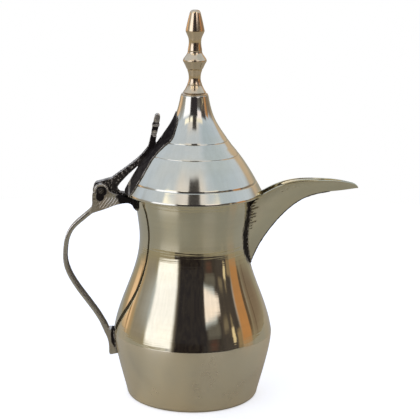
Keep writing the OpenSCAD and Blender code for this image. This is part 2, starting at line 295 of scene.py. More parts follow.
def spot(t, x, y, z, uneven, patch):
    """1 inside an uneven patch, 0 outside it. metal() says what a patch is. A patch across Y is on the
    spout's side only, and its top and bottom are blunter than an oval's."""
    axis, middle, level, wide, high = patch
    across = t.math("DIVIDE", t.math("SUBTRACT", x if axis else y, middle * MM), wide * MM)
    upward = t.math("DIVIDE", t.math("SUBTRACT", z, level * MM), high * MM)
    if not axis:
        upward = t.math("MULTIPLY", upward, upward)
    far = t.math("ADD", t.math("MULTIPLY", across, across), t.math("MULTIPLY", upward, upward))
    far = t.math("ADD", far, uneven)
    inside = t.fade(far, 0.75, 1.15, 1.0, 0.0)
    return inside if axis else t.math("MULTIPLY", inside, t.math("GREATER_THAN", x, 0.0))


def rubbed_and_highlit(t, place, x, y, z, bend, upward, uneven, rubs_and_highlights, flecks):
    """Where a dark casting is bright: raised edges rubbed by hands and cloths, a painted highlight on faces
    that look up, the bright patches, some rubbed and some painted highlights, and the flecks."""
    # painted highlight on faces that look up; raised edges are rubbed bright
    bright = t.math("MAXIMUM", t.fade(bend, 0.515, 0.55), t.fade(upward, 0.70, 0.82, 0.0, 0.75))
    for patch in rubs_and_highlights:
        bright = t.math("MAXIMUM", bright, spot(t, x, y, z, uneven, patch))
    if flecks:
        fleck = t.fade(t.noise(place, 620.0, 2.0), 0.55, 0.62, 0.0, 0.8)
        fleck = t.math("MULTIPLY", fleck, t.fade(x, (flecks - 3) * MM, flecks * MM, 1.0, 0.0))
        flat = t.math("LESS_THAN", t.math("ABSOLUTE", y), 3.4 * MM)
        bright = t.math("MAXIMUM", bright, t.math("MULTIPLY", fleck, flat))
    return bright


def scored_marks(t, ring, z):
    """Coarse turning marks near both ends of the belly, which all but run out on the neck."""
    upper, lower = t.fade(z, 97 * MM, 106 * MM), t.fade(z, 54 * MM, 62 * MM, 0.7, 0.0)
    ends = t.math("MULTIPLY", t.math("MAXIMUM", upper, lower), t.fade(z, 113 * MM, 122 * MM, 1.0, 0.15))
    return t.math("MULTIPLY", t.noise(t.scaled(ring, (1.6, 1.6, 560)), 1.0, 2.5), ends)


def metal(name, colour, rough, lines=0.0, wave=0.0, grain=0.0, stain=0.0, patina=0.6, oxide=0.0,
          wear_and_sheen=0.0, scores=0.0, soot_and_shade=(), rubs_and_highlights=(), flecks=None):
    """Brass. Four values are depths in mm: lines of turning marks, wave of the sheet's unevenness, grain
    of a cast skin, and scores of the coarse turning marks near the ends of the belly. stain is how much
    tan stain shows, patina how dark the recesses are, oxide how much of the open surface is dark too, and
    wear_and_sheen how bright its raised edges are rubbed and its upward faces lit by a painted highlight;
    with it, faces turned towards +X take painted shade. soot_and_shade and rubs_and_highlights are dark and
    bright patches, some soot and rubbing, some painted shadow, painted reflection and painted highlight:
    each an axis, 1 for X or 0 for Y, then its middle along that axis and in height, and its two half
    sizes, all in mm. Bright flecks show where X is under flecks, on the flat part across the middle.
    rubs_and_highlights and flecks need some wear_and_sheen."""
    finish = bpy.data.materials.new(name)
    t = Tree(finish)
    place = t.add("TexCoord").outputs["Object"]
    x, y, z = t.add("SeparateXYZ", place).outputs
    radius = t.math("SQRT", t.math("ADD", t.math("MULTIPLY", x, x), t.math("MULTIPLY", y, y)))
    along = t.math("ADD", z, t.math("MULTIPLY", radius, 0.7))
    ring = t.add("CombineXYZ", t.math("MULTIPLY", x, 16.0), t.math("MULTIPLY", y, 16.0), along).outputs[0]
    fine = t.noise(t.scaled(ring, (1, 1, 1900)), 1.0, 2.0)
    broad = t.noise(t.scaled(ring, (0.6, 0.6, 420)), 1.0, 3.0)
    cloud = t.noise(place, 26.0, 5.0, 0.6)
    specks = t.noise(place, 330.0, 3.0, 0.3)

    # colour: polished metal, then stains, then rubbed edges and painted highlights, then the dark coat of
    # the recesses and the castings, the soot, the painted shadow and painted reflection of the dark patches,
    # and the painted shade on faces turned towards +X
    duller = [c * 0.86 for c in colour]
    streak = min(0.35, lines * 300)
    tone = t.mix(t.fade(broad, 0.3, 0.7, 0.0, streak), rgba(colour), rgba(duller))
    blotch = t.math("MULTIPLY", t.fade(cloud, 0.46, 0.70), t.fade(specks, 0.35, 0.62, 0.8, 1.0))
    tint = t.fade(t.noise(place, 24.0, 3.0), 0.36, 0.64, 0.0, 0.6)
    tone = t.mix(tint, tone, rgba((colour[0] * 0.86, colour[1] * 0.92, colour[2] * 1.02)))
    stained = t.math("MULTIPLY", blotch, stain)
    tone = t.mix(stained, tone, rgba(TAN))
    shade = t.add("AmbientOcclusion", Distance=0.0035, settings={"samples": 6}).outputs["AO"]
    bend = t.add("NewGeometry").outputs["Pointiness"]
    open_part = t.math("ADD", shade, t.math("MULTIPLY", t.math("SUBTRACT", cloud, 0.5), 0.25))
    recess = t.math("MAXIMUM", t.fade(open_part, 0.42, 0.86, 1.0, 0.0),
                    t.fade(bend, 0.40, 0.475, 0.85, 0.0))
    dark = t.math("MULTIPLY", recess, patina)
    if oxide:
        coat = t.fade(t.math("ADD", cloud, t.math("MULTIPLY", specks, 0.6)), 0.74, 1.0, 1.0, 0.94)
        dark = t.math("MAXIMUM", dark, t.math("MULTIPLY", coat, oxide))
    uneven = t.math("ADD", t.math("MULTIPLY", t.math("SUBTRACT", cloud, 0.5), 0.7),
                    t.math("MULTIPLY", t.math("SUBTRACT", specks, 0.5), 0.8))
    if wear_and_sheen:
        # painted shade: faces turned towards +X, the pot's side of the handle and the bracket, are darkened
        facing = t.add("SeparateXYZ", t.add("TexCoord").outputs["Normal"])
        dark = t.math("MAXIMUM", dark, t.fade(facing.outputs["X"], 0.35, 0.8, 0.0, 0.8))
        # bright rubbed edges, flecks and patches, and a painted highlight on faces that look up and in some
        # of the patches
        rub_and_highlight_share = rubbed_and_highlit(t, place, x, y, z, bend, facing.outputs["Z"], uneven, rubs_and_highlights, flecks)
        rub_and_highlight_share = t.math("MULTIPLY", rub_and_highlight_share, t.fade(specks, 0.36, 0.56, 0.45, 1.0))
        tone = t.mix(t.math("MULTIPLY", rub_and_highlight_share, 0.6), tone, rgba(RUBBED_AND_HIGHLIT))
        dark = t.math("MULTIPLY", dark, t.math("SUBTRACT", 1.0, t.math("MULTIPLY", rub_and_highlight_share, wear_and_sheen)))
    # dark patches: soot at joints, painted shadow and painted dark reflection
    for patch in soot_and_shade:
        dark = t.math("MAXIMUM", dark, t.math("MULTIPLY", spot(t, x, y, z, uneven, patch), 0.99))
    tone = t.mix(dark, tone, rgba(DARK))

    # gloss: stains are duller than clean metal, and the dark coat, with the painted shade, is a dull skin
    # that isn't metal
    gloss = t.fade(specks, 0.3, 0.7, rough * 0.9, rough * 1.1)
    gloss = t.math("ADD", gloss, t.math("MULTIPLY", stained, 0.12))
    gloss = t.math("ADD", gloss, t.math("MULTIPLY", dark, 0.36))
    bare = t.math("SUBTRACT", 1.0, t.math("MULTIPLY", dark, 0.98))
    gleam = t.math("SUBTRACT", 1.5, t.math("MULTIPLY", dark, 0.38))

    # relief: what gives each height, and its depth in mm
    reliefs = [(cloud, wave), (fine, lines), (broad, lines * 4.5), (specks, grain)]
    if scores:
        reliefs.append((scored_marks(t, ring, z), scores))
    normal = None
    for height, depth in reliefs:
        if depth:
            normal = t.bump(height, depth, normal)
    shader = t.add("BsdfPrincipled", Base_Color=tone, Metallic=bare, Roughness=gloss, IOR=gleam,
                   Specular_IOR_Level=0.15)
    if normal:
        t.put(shader.inputs["Normal"], normal)
    t.put(t.add("OutputMaterial").inputs["Surface"], shader.outputs[0])
    return finish


# its dark patch beside the spout's root is a painted dark reflection of the spout on the neck
vessel_brass = metal("vessel_brass", BRASS, 0.06, lines=0.003, wave=0.05, stain=0.10, patina=0.5,
                     scores=0.095, soot_and_shade=[(0, 0, 136, 17.4, 41)])
band_brass = metal("band_brass", (0.98, 0.82, 0.54), 0.24, lines=0.0002, wave=0.06, stain=0.16,
                   patina=0.4)
inner_brass = metal("inner_brass", (0.62, 0.50, 0.30), 0.34, lines=0.004, wave=0.05, stain=0.6,
                    patina=0.7)
lid_brass = metal("lid_brass", PALE, 0.10, lines=0.0016, wave=0.03, stain=0.05, patina=0.75)
finial_brass = metal("finial_brass", (0.86, 0.66, 0.40), 0.15, lines=0.004, wave=0.02, stain=0.3,
                     patina=0.9)
spout_brass = metal("spout_brass", BRASS, 0.16, wave=0.07, grain=0.002, stain=0.2, patina=0.85)
# dark patches: painted shadow round the hinge knuckle, a dark patch on the tang under the lid's rim, and the
# dark braze at the handle's foot; bright patches: the polished round edge of the cheeks over the pin, with a
# painted highlight on its top
cast_brass = metal("cast_brass", (0.69, 0.61, 0.46), 0.22, wave=0.04, grain=0.004, stain=0.55, patina=0.95,
                   wear_and_sheen=0.9,
                   soot_and_shade=[(1, -65.4, 151.3, 4.3, 3.9), (1, -66.6, 147.6, 3.2, 4.2),
                         (1, -45.5, 146.5, 9.5, 9), (1, -56.6, 43.5, 3.2, 9.5)],
                   rubs_and_highlights=[(1, -66, 156.4, 3.6, 1.0), (1, -70.2, 154.1, 1.5, 2.1),
                        (1, -61.8, 154.2, 1.4, 1.8)])
# bright patches: the thumb tab's pale tip and bright rings, and a painted highlight in a strip beside the
# bracket's opening
dark_brass = metal("dark_brass", (0.66, 0.57, 0.43), 0.22, wave=0.04, grain=0.008, stain=0.3, patina=1.0,
                   oxide=0.995, wear_and_sheen=0.92, flecks=-37,
                   rubs_and_highlights=[(1, -26.4, 206.5, 3.6, 6.5), (1, -26.9, 198.4, 3.0, 1.0),
                        (1, -27.8, 192.6, 2.4, 2.4), (1, -45.6, 155.5, 0.9, 5.5)])
braze = metal("braze", (0.42, 0.33, 0.18), 0.32, grain=0.02, stain=0.5, patina=1.0, oxide=0.95, wear_and_sheen=0.5)
dull_brass = metal("dull_brass", (0.55, 0.45, 0.30), 0.3, grain=0.006, stain=0.3, patina=0.95,
                   oxide=0.93, wear_and_sheen=0.6)
pin_brass = metal("pin_brass", (0.66, 0.55, 0.36), 0.2, grain=0.006, stain=0.3, patina=0.95)


# ---------------------------------------------------------------- vessel
def outside_of_body():
    """The upper body's outside, from the chine up to the mouth."""
    belly = bezier([[BELLY_R, BELLY_Z], [BELLY_R - 3.6, BELLY_Z + 24.8], [NECK_R, NECK_Z - 25.4],
                    [NECK_R, NECK_Z]], 90)
    flare = bezier([[NECK_R, NECK_Z], [NECK_R, NECK_Z + 9], [MOUTH_R, COLLAR_Z - 8],
                    [MOUTH_R, COLLAR_Z]], 36)
    return np.vstack([belly, flare[1:], [[MOUTH_R, MOUTH_Z]]])


BODY_LINE = outside_of_body()
BOWL_LINE = bezier([[BASE_R + 2.7, 4], [BASE_R + 5.5, 15], [BELLY_R, BELLY_Z - 11], [BELLY_R, BELLY_Z]], 48)
FOOT_LINE = bezier([[BASE_R, 0], [BASE_R + 1.3, 0], [BASE_R + 2.2, 1.2], [BASE_R + 2.5, 3]], 10)


def body_radius(z):
    return np.interp(z, BODY_LINE[:, 1], BODY_LINE[:, 0])


def is_inside(radius, z, outward):
    """True for a turned face that looks towards the axis."""
    return outward < -0.15


def listed(line):
    return [tuple(p) for p in line]


def make_vessel():
    """The bowl, its base, the upper body with its lap seam, and the ring in the mouth."""
    bowl_in = inset(BOWL_LINE, WALL)
    plate_r = BASE_R - 1.6
    turn("lower_bowl", [
        (plate_r, 0.1, 0.1), *listed(FOOT_LINE), *listed(BOWL_LINE[:-1]),
        (BELLY_R, BELLY_Z, 0.12), (BELLY_R - WALL, BELLY_Z), *listed(bowl_in[46:3:-1]), (BASE_R + 0.4, 1.8),
        (plate_r, 1.6)],
        [band_brass, inner_brass], "pot", ["lower_bowl"], second=is_inside)
    turn("base_plate", [
        (0, 0.5), (12, 0.5), (14, 0.35), (plate_r - 9, 0.35), (plate_r - 7, 0.1),
        (plate_r - 0.1, 0.05, 0.2), (plate_r - 0.1, 1.5), (0, 1.5)],
        [band_brass, inner_brass], "pot", ["base_plate"], 128,
        second=lambda radius, z, outward: z > 1.2)
    body_in = inset(BODY_LINE, WALL)
    body_in = body_in[body_in[:, 1] > BELLY_Z + 0.2]
    lap = body_in[body_in[:, 1] < BELLY_Z + 4]
    body = turn("upper_body", [
        (BELLY_R, BELLY_Z, 0.12), *listed(BODY_LINE[1:-1]), (MOUTH_R, MOUTH_Z, 0.3),
        (MOUTH_R - WALL, MOUTH_Z), *listed(body_in[::-1]), (BELLY_R - WALL, BELLY_Z)],
        [vessel_brass, inner_brass], "pot", ["upper_body"], second=is_inside)
    pierce(body)
    turn("bowl_lap", [
        (BELLY_R - WALL, BELLY_Z), *listed(lap), (lap[-1][0] - 0.8, lap[-1][1], 0.2),
        (BELLY_R - WALL - 0.8, BELLY_Z - 4), (BELLY_R - WALL + 0.3, BELLY_Z - 4)],
        [inner_brass], "pot", [], 128)
    bore = MOUTH_R - WALL - 1.4
    turn("mouth_ring", [
        (bore, MOUTH_Z - 5.5, 0.4), (bore + 1.35, MOUTH_Z - 5.5), (bore + 1.35, MOUTH_Z - 0.05, 0.1),
        (bore, MOUTH_Z - 0.05, 0.5)],
        [lid_brass], "pot", ["mouth_ring"])


def pierce(body):
    """Cuts the strainer holes behind the spout."""
    bm = bmesh.new()
    hole_r = 1.4 * MM
    for row, z in enumerate([107, 113, 119.5, 126, 132.5]):
        for y in ([0] if row < 2 else [-2.6, 2.6]):
            made = bmesh.ops.create_cone(bm, cap_ends=True, segments=28, radius1=hole_r, radius2=hole_r,
                                         depth=14 * MM)
            for v in made["verts"]:
                v.co = Vector((v.co.z + (NECK_R - 1) * MM, v.co.y + y * MM, -v.co.x + z * MM))
    mesh = bpy.data.meshes.new("drill")
    bm.to_mesh(mesh)
    bm.free()
    drill = bpy.data.objects.new("drill", mesh)
    SCENE.collection.objects.link(drill)
    cut = body.modifiers.new("holes", "BOOLEAN")
    cut.object = drill
    cut.operation = "DIFFERENCE"
    cut.solver = "EXACT"
    cut.material_mode = "INDEX"
    pierced = bpy.data.meshes.new_from_object(body.evaluated_get(bpy.context.evaluated_depsgraph_get()))
    body.modifiers.remove(cut)
    body.data = pierced
    bpy.data.objects.remove(drill)
    soften(pierced, 40)


# ---------------------------------------------------------------- spout
KEEL = smooth([[41.3, 97.8], [47, 111.2], [56, 125.1], [67, 137.6], [79, 146.3], [92, 150.4], [106, 152.2],
               [SPOUT_REACH, SPOUT_TIP_Z - 1.2]], 20)
SPOUT_RIM = smooth([[40, 140.8], [44.4, 146.2], [50, 150.5], [60, 155.6], [72, 158.9], [87, 159.9],
                    [103, 159.3], [SPOUT_REACH, SPOUT_TIP_Z + 1.2]], 20)
HALF_WIDTHS = smooth([[1, 0], [1, 0], [0.94, 0], [0.86, 0], [0.78, 0], [0.64, 0], [0.42, 0],
                      [0.14, 0]], 20)[:, 0] * SPOUT_HALF


def spout_surface(skin, columns):
    """Grid of points on the spout's near half: rows run out along it, columns from keel to rim."""
    t = np.linspace(0, 1, columns + 1)[None, :, None]
    up = SPOUT_RIM - KEEL
    deep = np.linalg.norm(up, axis=1)
    keel_in = (np.minimum(2 * skin, 0.35 * deep) / deep)[:, None, None]
    half = (HALF_WIDTHS - np.minimum(skin, 0.45 * HALF_WIDTHS))[:, None]
    p = KEEL[:, None] + up[:, None] * (keel_in + (1 - keel_in) * t)
    y = half * np.sin(t[..., 0] * math.pi / 2) ** 0.85
    x, z = p[..., 0].copy(), p[..., 1]
    x[0] = np.sqrt(body_radius(z[0]) ** 2 - y[0] ** 2)
    return np.stack([x, y, z], axis=2)


def make_spout():
    """The open beak: two bent sheets, with braze round the joint and along the keel."""
    columns = 130
    outer, inner = spout_surface(0, columns), spout_surface(WALL, columns)
    rows = len(outer)
    # uneven strokes of the chasing tool beside the joint, and a few pits below the rim
    x, z = outer[..., 0], outer[..., 2]
    away = np.hypot(x, outer[..., 1]) - body_radius(z)
    pitch, slant = 2.1, 1.1
    step = z * 2 * math.pi / pitch - slant * away
    stroke = between(np.sin(step), 0.25, 0.75)
    length = 4.6 + 1.7 * np.sin(2.4 * np.floor(step / (2 * math.pi) + 0.25))
    reach = between(away, 0.2, 0.6) * (1 - between(away - length, -1.5, 0)) * between(z, 122, 128)
    pits = sum(
        np.exp(-((x - px) ** 2 + (z - np.interp(px, SPOUT_RIM[:, 0], SPOUT_RIM[:, 1]) + below) ** 2) / 0.3)
        for px, below in ((63, 4.1), (66.5, 3.2), (70, 4.6), (72, 3.0), (74.5, 3.6), (78, 2.9), (81, 3.5))
    )
    outer[..., 1] -= 0.42 * stroke * reach + 0.25 * pits
    # the rim is filed off inside, widest in the middle of the spout
    filed = between(np.linspace(0, 1, columns + 1), 0.86, 1.0)[None] * between(inner[..., 0], 56, 66)
    inner[..., 1] += 0.75 * filed * (1 - between(inner[..., 0], 84, 96)) * (inner[..., 1] > 1)
    # the tip is rounded down to the keel
    rounded, drop = 4.5, 1.9
    end = np.clip((outer[..., 0] - SPOUT_REACH + rounded) / rounded, 0, 1) ** 2.5
    for layer in (outer, inner):
        layer[..., 2] -= drop * end * np.linspace(0, 1, columns + 1)[None] ** 0.7
    count = rows * (columns + 1)
    # round the rim over from the outside to the inside
    lip = (outer[:, -1] + inner[:, -1]) / 2
    lip[:, 2] += 0.35

    def at(layer, i, j):
        return layer * count + i * (columns + 1) + j

    faces = []
    for i in range(rows - 1):
        for j in range(columns):
            faces.append((at(0, i, j), at(0, i + 1, j), at(0, i + 1, j + 1), at(0, i, j + 1)))
            faces.append((at(1, i, j), at(1, i, j + 1), at(1, i + 1, j + 1), at(1, i + 1, j)))
        faces.append((at(0, i, 0), at(1, i, 0), at(1, i + 1, 0), at(0, i + 1, 0)))
        a, b = 2 * count + i, 2 * count + i + 1
        faces.append((at(0, i, columns), at(0, i + 1, columns), b, a))
        faces.append((a, b, at(1, i + 1, columns), at(1, i, columns)))
    for i in (0, rows - 1):
        for j in range(columns):
            faces.append((at(0, i, j), at(0, i, j + 1), at(1, i, j + 1), at(1, i, j)))
        faces.append((at(0, i, columns), 2 * count + i, at(1, i, columns)))
    points = np.vstack([outer.reshape(-1, 3), inner.reshape(-1, 3), lip])
    points[:, 1] = np.maximum(points[:, 1], 0.03)
    for side, name in ((1, "spout_left_half"), (-1, "spout_right_half")):
        make(name, points * (1, side, 1), faces, [spout_brass], "pot", [name])
    for side, name in ((1, "left"), (-1, "right")):
        edge = outer[0] * (1, side, 1)
        bead(f"spout_braze_{name}", edge[::2], 0.95, 3.0 * side)
    seam = KEEL[4:-30:4]
    bead("spout_seam", np.stack([seam[:, 0], 0 * seam[:, 0], seam[:, 1]], axis=1), 0.42, 5.0)


def bead(name, line, radius, seed, body="pot"):
    """A run of braze along a line of points, uneven in thickness."""
    line = np.array(line)
    sides = 14
    steps = max(int(np.linalg.norm(np.diff(line, axis=0), axis=1).sum() / 0.35), 8)
    s = np.linspace(0, len(line) - 1, steps)
    path = np.stack([np.interp(s, np.arange(len(line)), line[:, k]) for k in range(3)], axis=1)
    run = np.gradient(path, axis=0)
    run /= np.maximum(np.linalg.norm(run, axis=1), 1e-9)[:, None]
    first = np.cross(run, (0.3, 0.1, 1.0))
    first /= np.maximum(np.linalg.norm(first, axis=1), 1e-9)[:, None]
    second = np.cross(run, first)
    points = []
    for i, p in enumerate(path):
        taper = min(1.0, 0.35 + 0.16 * min(i, steps - 1 - i))
        for k in range(sides):
            a = 2 * math.pi * k / sides
            out = first[i] * math.cos(a) + second[i] * math.sin(a)
            swell = 1 + 0.45 * noise.noise(Vector(p + out * radius) / 1.7 + Vector((seed, 0, 0)))
            points.append(p + out * radius * taper * swell)
    faces = [
        (i * sides + k, i * sides + (k + 1) % sides, (i + 1) * sides + (k + 1) % sides, (i + 1) * sides + k)
        for i in range(steps - 1) for k in range(sides)
    ]
    faces += [tuple(range(sides)), tuple((steps - 1) * sides + k for k in range(sides))]
    return make(name, points, faces, [braze], body, [], sharp=60)


# ---------------------------------------------------------------- handle and hinge
GRIP = np.vstack([
    bezier([[PIN[0] - 4, 138.6], [-85.2, 124.9], [-91.9, 124], [-92.3, 102.6]], 60),
    bezier([[-92.3, 102.6], [-92.8, 83.4], [-69.9, 66.9], [-62.2, 45.6]], 60),
])
LEAF_SIDE = smooth([[0, 208.5], [7.6, 204.6], [12.4, 197], [16, 190.5], [15.2, 186], [14.8, 182], [16, 176],
                    [19, 168], [20.4, 160], [20.8, 154], [18.5, MOUTH_Z]], 6)


def make_handle():
    """The cast handle, from its CAD solid, with the braze at its foot."""
    points, edges, faces = solid_points("handle", 0.26)
    points = relax(points, edges, 5, 0.5, 0.35)
    normal = face_normals(points, faces)
    x, y, z = points.T
    # the strap's two broad faces are crowned along the middle
    strap = (1 - between(z, 132, 138)) * between(z, 50, 56)
    flank = between(np.abs(normal[:, 1]), 0.2, 0.6)
    middle = np.array([np.hypot(GRIP[:, 0] - px, GRIP[:, 1] - pz).min() for px, pz in zip(x, z)])
    crown = -strap * (0.5 * (y / 4.5) ** 2 * (1 - flank)
                      + 0.28 * np.minimum(middle, 2.4) ** 2 / 2.4 * flank)
    # slanting strokes of the chasing tool on the cheeks
    cheek = between(np.abs(normal[:, 1]), 0.7, 0.95) * between(z, 136, 140) * between(np.abs(y), 6.0, 6.4)
    along = (x - PIN[0]) * 0.82 - (z - PIN[1]) * 0.57
    across = (x - PIN[0]) * 0.57 + (z - PIN[1]) * 0.82
    pitch = 1.8
    stroke = np.sin(2 * math.pi * along / pitch + 0.4 * np.sin(across) + 0.5 * lumps(points, 4, 6.6))
    hatch = between(stroke, 0.2, 0.8)
    field = (1 - between(x - PIN[0], 14, 17)) * (1 - between(z - PIN[1], -5.5, -2.5))
    carve = 0.22 * hatch * field * cheek * between(x - PIN[0], -3.5, -1)
    # each cheek's outer face is dished round the pin and bevelled along its round edge
    from_pin = np.hypot(x - PIN[0], z - PIN[1])
    dish = between(from_pin, 2.4, 2.9) * (1 - between(from_pin, 3.8, 4.3))
    bevel = between(from_pin, 4.4, 5.6) * (1 - between(x - PIN[0], 4.4, 5.2))
    outer = between(np.abs(normal[:, 1]), 0.5, 0.9) * between(np.abs(y), 5.6, 6.1)
    outer = outer * between(z - PIN[1], -2, 0)
    carve = carve + (0.35 * dish + 0.8 * bevel) * outer
    # the skin is uneven, except in the bearing and the slot
    skin = 0.10 * lumps(points, 7.0, 3.1) + 0.035 * lumps(points, 1.6, 8.2)
    slot_half, slot_foot = 3.6, 140
    inner = (np.abs(y) < slot_half) * (z > slot_foot)
    skin = skin * (1 - inner) * between(from_pin, 1.8, 2.6)
    points = points + normal * (crown - carve + skin)[:, None]
    make("handle", points, faces, [cast_brass], "pot", ["handle"], sharp=70)
    edge = 4.4
    for side, name in ((1, "left"), (-1, "right")):
        line = [(-math.sqrt(np.interp(z, BOWL_LINE[:, 1], BOWL_LINE[:, 0]) ** 2 - edge ** 2), side * edge, z)
                for z in np.linspace(30.5, 47.5, 14)]
        bead(f"foot_braze_{name}", line, 0.8, 7.0 * side)


def make_pin():
    """The pin, with its two ends hammered over into low domes."""
    end = -HEAD_W / 2
    line = [(0, end - 0.75), (0.9, end - 0.7), (1.7, end - 0.42), (2.2, end - 0.02), (1.6, end + 0.05)]
    line = line + [(r, -h) for r, h in reversed(line)]
    line = np.array(eased([(*p, 0.2) for p in line], closed=False))
    sides = 64
    angle = np.linspace(0, 2 * math.pi, sides, endpoint=False)
    points = np.array([
        (PIN[0] + r * math.cos(a) * (1 + 0.04 * math.sin(3 * a + h)), h,
         PIN[1] + r * math.sin(a) * (1 + 0.05 * math.cos(2 * a - h)))
        for a in angle for r, h in line
    ])
    count = len(line)
    faces = [
        (s * count + i, s * count + i + 1, (s + 1) % sides * count + i + 1, (s + 1) % sides * count + i)
        for s in range(sides) for i in range(count - 1)
    ]
    make("hinge_pin", points, faces, [dull_brass], "pot", ["hinge_pin"])


def make_bracket():
    """The casting that carries the lid, from its CAD solid, with the braze beside its leaf."""
    points, edges, faces = solid_points("lid_bracket", 0.24)
    points = relax(points, edges, 4, 0.5, 0.3)
    normal = face_normals(points, faces)
    x, y, z = points.T
    plate = 1 - between(np.abs(y), 3.1, 3.6)
    from_pin = np.hypot(x - PIN[0], z - PIN[1])
    free = between(from_pin, 7.0, 9.0)
    # a raised collar and three cut rings on the thumb tab, and punched dots along the arm's upper edge
    tab = between(z, 186, 188) * (1 - between(x, -22, -21)) * plate
    rings = sum(np.exp(-((z + 0.12 * x - at) / 0.5) ** 2) for at in (187.6, 188.9, 197.2))
    collar = 0.45 * np.exp(-((z + 0.12 * x - 195.2) / 0.8) ** 2)
    arm = between(x, -63, -60) * (1 - between(x, -38, -35)) * plate * between(normal[:, 2], 0.3, 0.6)
    pitch = 2.6
    dots = between(np.cos(2 * math.pi * (x + 0.8 * z) / pitch), 0.2, 0.9)
    carve = (0.4 * rings - collar) * tab + 0.28 * dots * arm
    # the skin is uneven, and pitted near the dots
    pitted = plate * between(x, -64, -60) * (1 - between(x, -38, -35)) * between(z - 0.85 * x, 204, 207)
    skin = 0.09 * lumps(points, 5.0, 1.7) + (0.05 + 0.2 * pitted) * lumps(points, 1.3, 5.9)
    # the leaf's outline is ragged where it is brazed to the lid
    lean = np.stack([x, y, 0.62 * np.hypot(x, y)], axis=1)
    lean /= np.linalg.norm(lean, axis=1)[:, None]
    rim = (1 - between(np.abs((normal * lean).sum(axis=1)), 0.3, 0.75)) * (1 - plate)
    skin = skin + 0.75 * rim * lumps(points, 2.2, 12.4)
    # the knuckle keeps its shape, and the arm's sides in the slot keep most of theirs
    clear = free * (1 - 0.7 * (from_pin < 20) * between(np.abs(y), 2.6, 2.9))
    points = points + normal * ((skin - carve) * clear)[:, None]
    make("lid_bracket", points, faces, [dark_brass], "lid", ["lid_bracket"], sharp=70)
    for side, name in ((1, "left"), (-1, "right")):
        line = [(-math.sqrt((lid_radius(z) + 0.2) ** 2 - y * y), side * y, z) for y, z in LEAF_SIDE[5:-3]]
        bead(f"leaf_braze_{name}", line, 0.5, 11.0 * side, "lid")


# ---------------------------------------------------------------- lid
def lid_side():
    """The lid's outside, from above the rim up to the finial, without its grooves."""
    low = bezier([[RIM_R, RIM_TOP_Z], [RIM_R - 7.5, 165.2], [35.1, 175], [27.1, 184]], 60)
    high = bezier([[27.1, 184], [15.6, 200], [12.8, 203.5], [CROWN_R + 0.3, CROWN_Z - 1]], 60)
    return np.vstack([low, high[1:]])


LID_LINE = lid_side()
GROOVES = [MOUTH_Z + 8.4, MOUTH_Z + 28.2, MOUTH_Z + 38]


def lid_radius(z):
    return float(np.interp(z, LID_LINE[:, 1], LID_LINE[:, 0]))


def grooved(line):
    """The lid's side with a notch at each groove: a small ledge that faces up, then a short slope out."""
    out = []
    for r, z in line:
        near = [g for g in GROOVES if g - 0.2 < z < g + 1.3]
        if not near:
            out.append((r, z))
        elif not out or out[-1][1] < near[0]:
            g = near[0]
            edge = float(np.interp(g, line[:, 1], line[:, 0]))
            above = float(np.interp(g + 1.3, line[:, 1], line[:, 0]))
            out += [(edge + 0.1, g - 0.15, 0.14), (edge - 0.4, g + 0.08, 0.1), (edge - 0.5, g + 0.45, 0.15),
                    (above + 0.03, g + 1.2, 0.3)]
    return out


def make_lid():
    """The grooved shell, and the ring under it that fits the mouth."""
    hollow = inset(LID_LINE, LID_WALL)
    hollow = hollow[(hollow[:, 1] > RIM_TOP_Z + 0.2) & (hollow[:, 1] < CROWN_Z - LID_WALL)]
    turn("lid_shell", [
        (RIM_R - LID_WALL, MOUTH_Z), (RIM_R, MOUTH_Z, 0.3), *grooved(LID_LINE), (CROWN_R, CROWN_Z, 0.3),
        (STUD_R, CROWN_Z), (STUD_R, CROWN_Z - LID_WALL), (hollow[-1][0], CROWN_Z - LID_WALL),
        *listed(hollow[::-1]), (RIM_R - LID_WALL, RIM_TOP_Z)],
        [lid_brass, inner_brass], "lid", ["lid_shell"], second=is_inside)
    turn("lid_bezel", [
        (SKIRT_R - 1.2, MOUTH_Z - 5.5, 0.3), (SKIRT_R - 0.5, MOUTH_Z - 5.5, 0.3),
        (SKIRT_R, MOUTH_Z - 4.6, 0.3), (SKIRT_R, MOUTH_Z, 0.2), (RIM_R - LID_WALL, MOUTH_Z + 0.02),
        (RIM_R - LID_WALL, RIM_TOP_Z), (SKIRT_R - 1.2, RIM_TOP_Z, 0.3)],
        [inner_brass], "lid", ["lid_bezel"])


def make_finial():
    """The four turned pieces on the stud, from the lid up."""
    parts = {
        "finial_base": [
            (STUD_R, 220.32), (9.3, 220.32, 0.15), (9.3, 221.0, 0.2), (8.4, 221.3, 0.1), (7.9, 221.6),
            (7.9, 221.9), (8.1, 222.15, 0.1), (7.3, 223.2), (6.5, 224.6), (5.9, 225.9), (5.35, 227.1),
            (5.3, 227.28, 0.08), (STUD_R, 227.28)],
        "finial_spool": [
            (STUD_R, 227.32), (5.1, 227.32, 0.1), (5.15, 227.9, 0.2), (4.5, 229.6), (4.2, 231.5),
            (4.2, 233), (4.45, 235), (4.75, 236.1), (5.15, 237.4), (5.2, 238.28, 0.1), (STUD_R, 238.28)],
        "finial_bead": [
            (STUD_R, 238.32), (5.5, 238.32, 0.15), (5.85, 238.8, 0.15), (6.35, 240.0), (7.0, 241.4),
            (7.8, 242.9), (8.35, 243.9, 0.3), (8.35, 244.7, 0.3), (7.8, 245.9), (6.9, 247.1),
            (5.9, 248.5), (5.2, 249.9), (5.05, 250.78, 0.1), (STUD_R, 250.78)],
        "finial_tip": [
            (0, 250.82), (4.9, 250.82, 0.12), (5.05, 251.4, 0.2), (4.6, 254.2), (4.35, 256.2),
            (4.35, 258), (4.6, 259.9), (5.05, 261.2), (5.7, 262.6), (6.3, 263.9), (6.65, 264.9, 0.35),
            (6.6, 265.6, 0.3), (6.35, 266.8), (5.8, 269.5), (5.15, 272.3), (4.5, 275.0), (4.1, 276.5),
            (3.75, 277.8, 0.3), (3.3, 278.9, 0.5), (2.2, 279.6, 0.6), (0, 279.75)],
    }
    for name, profile in parts.items():
        turn(name, profile, [finial_brass], "lid", [name], 128)


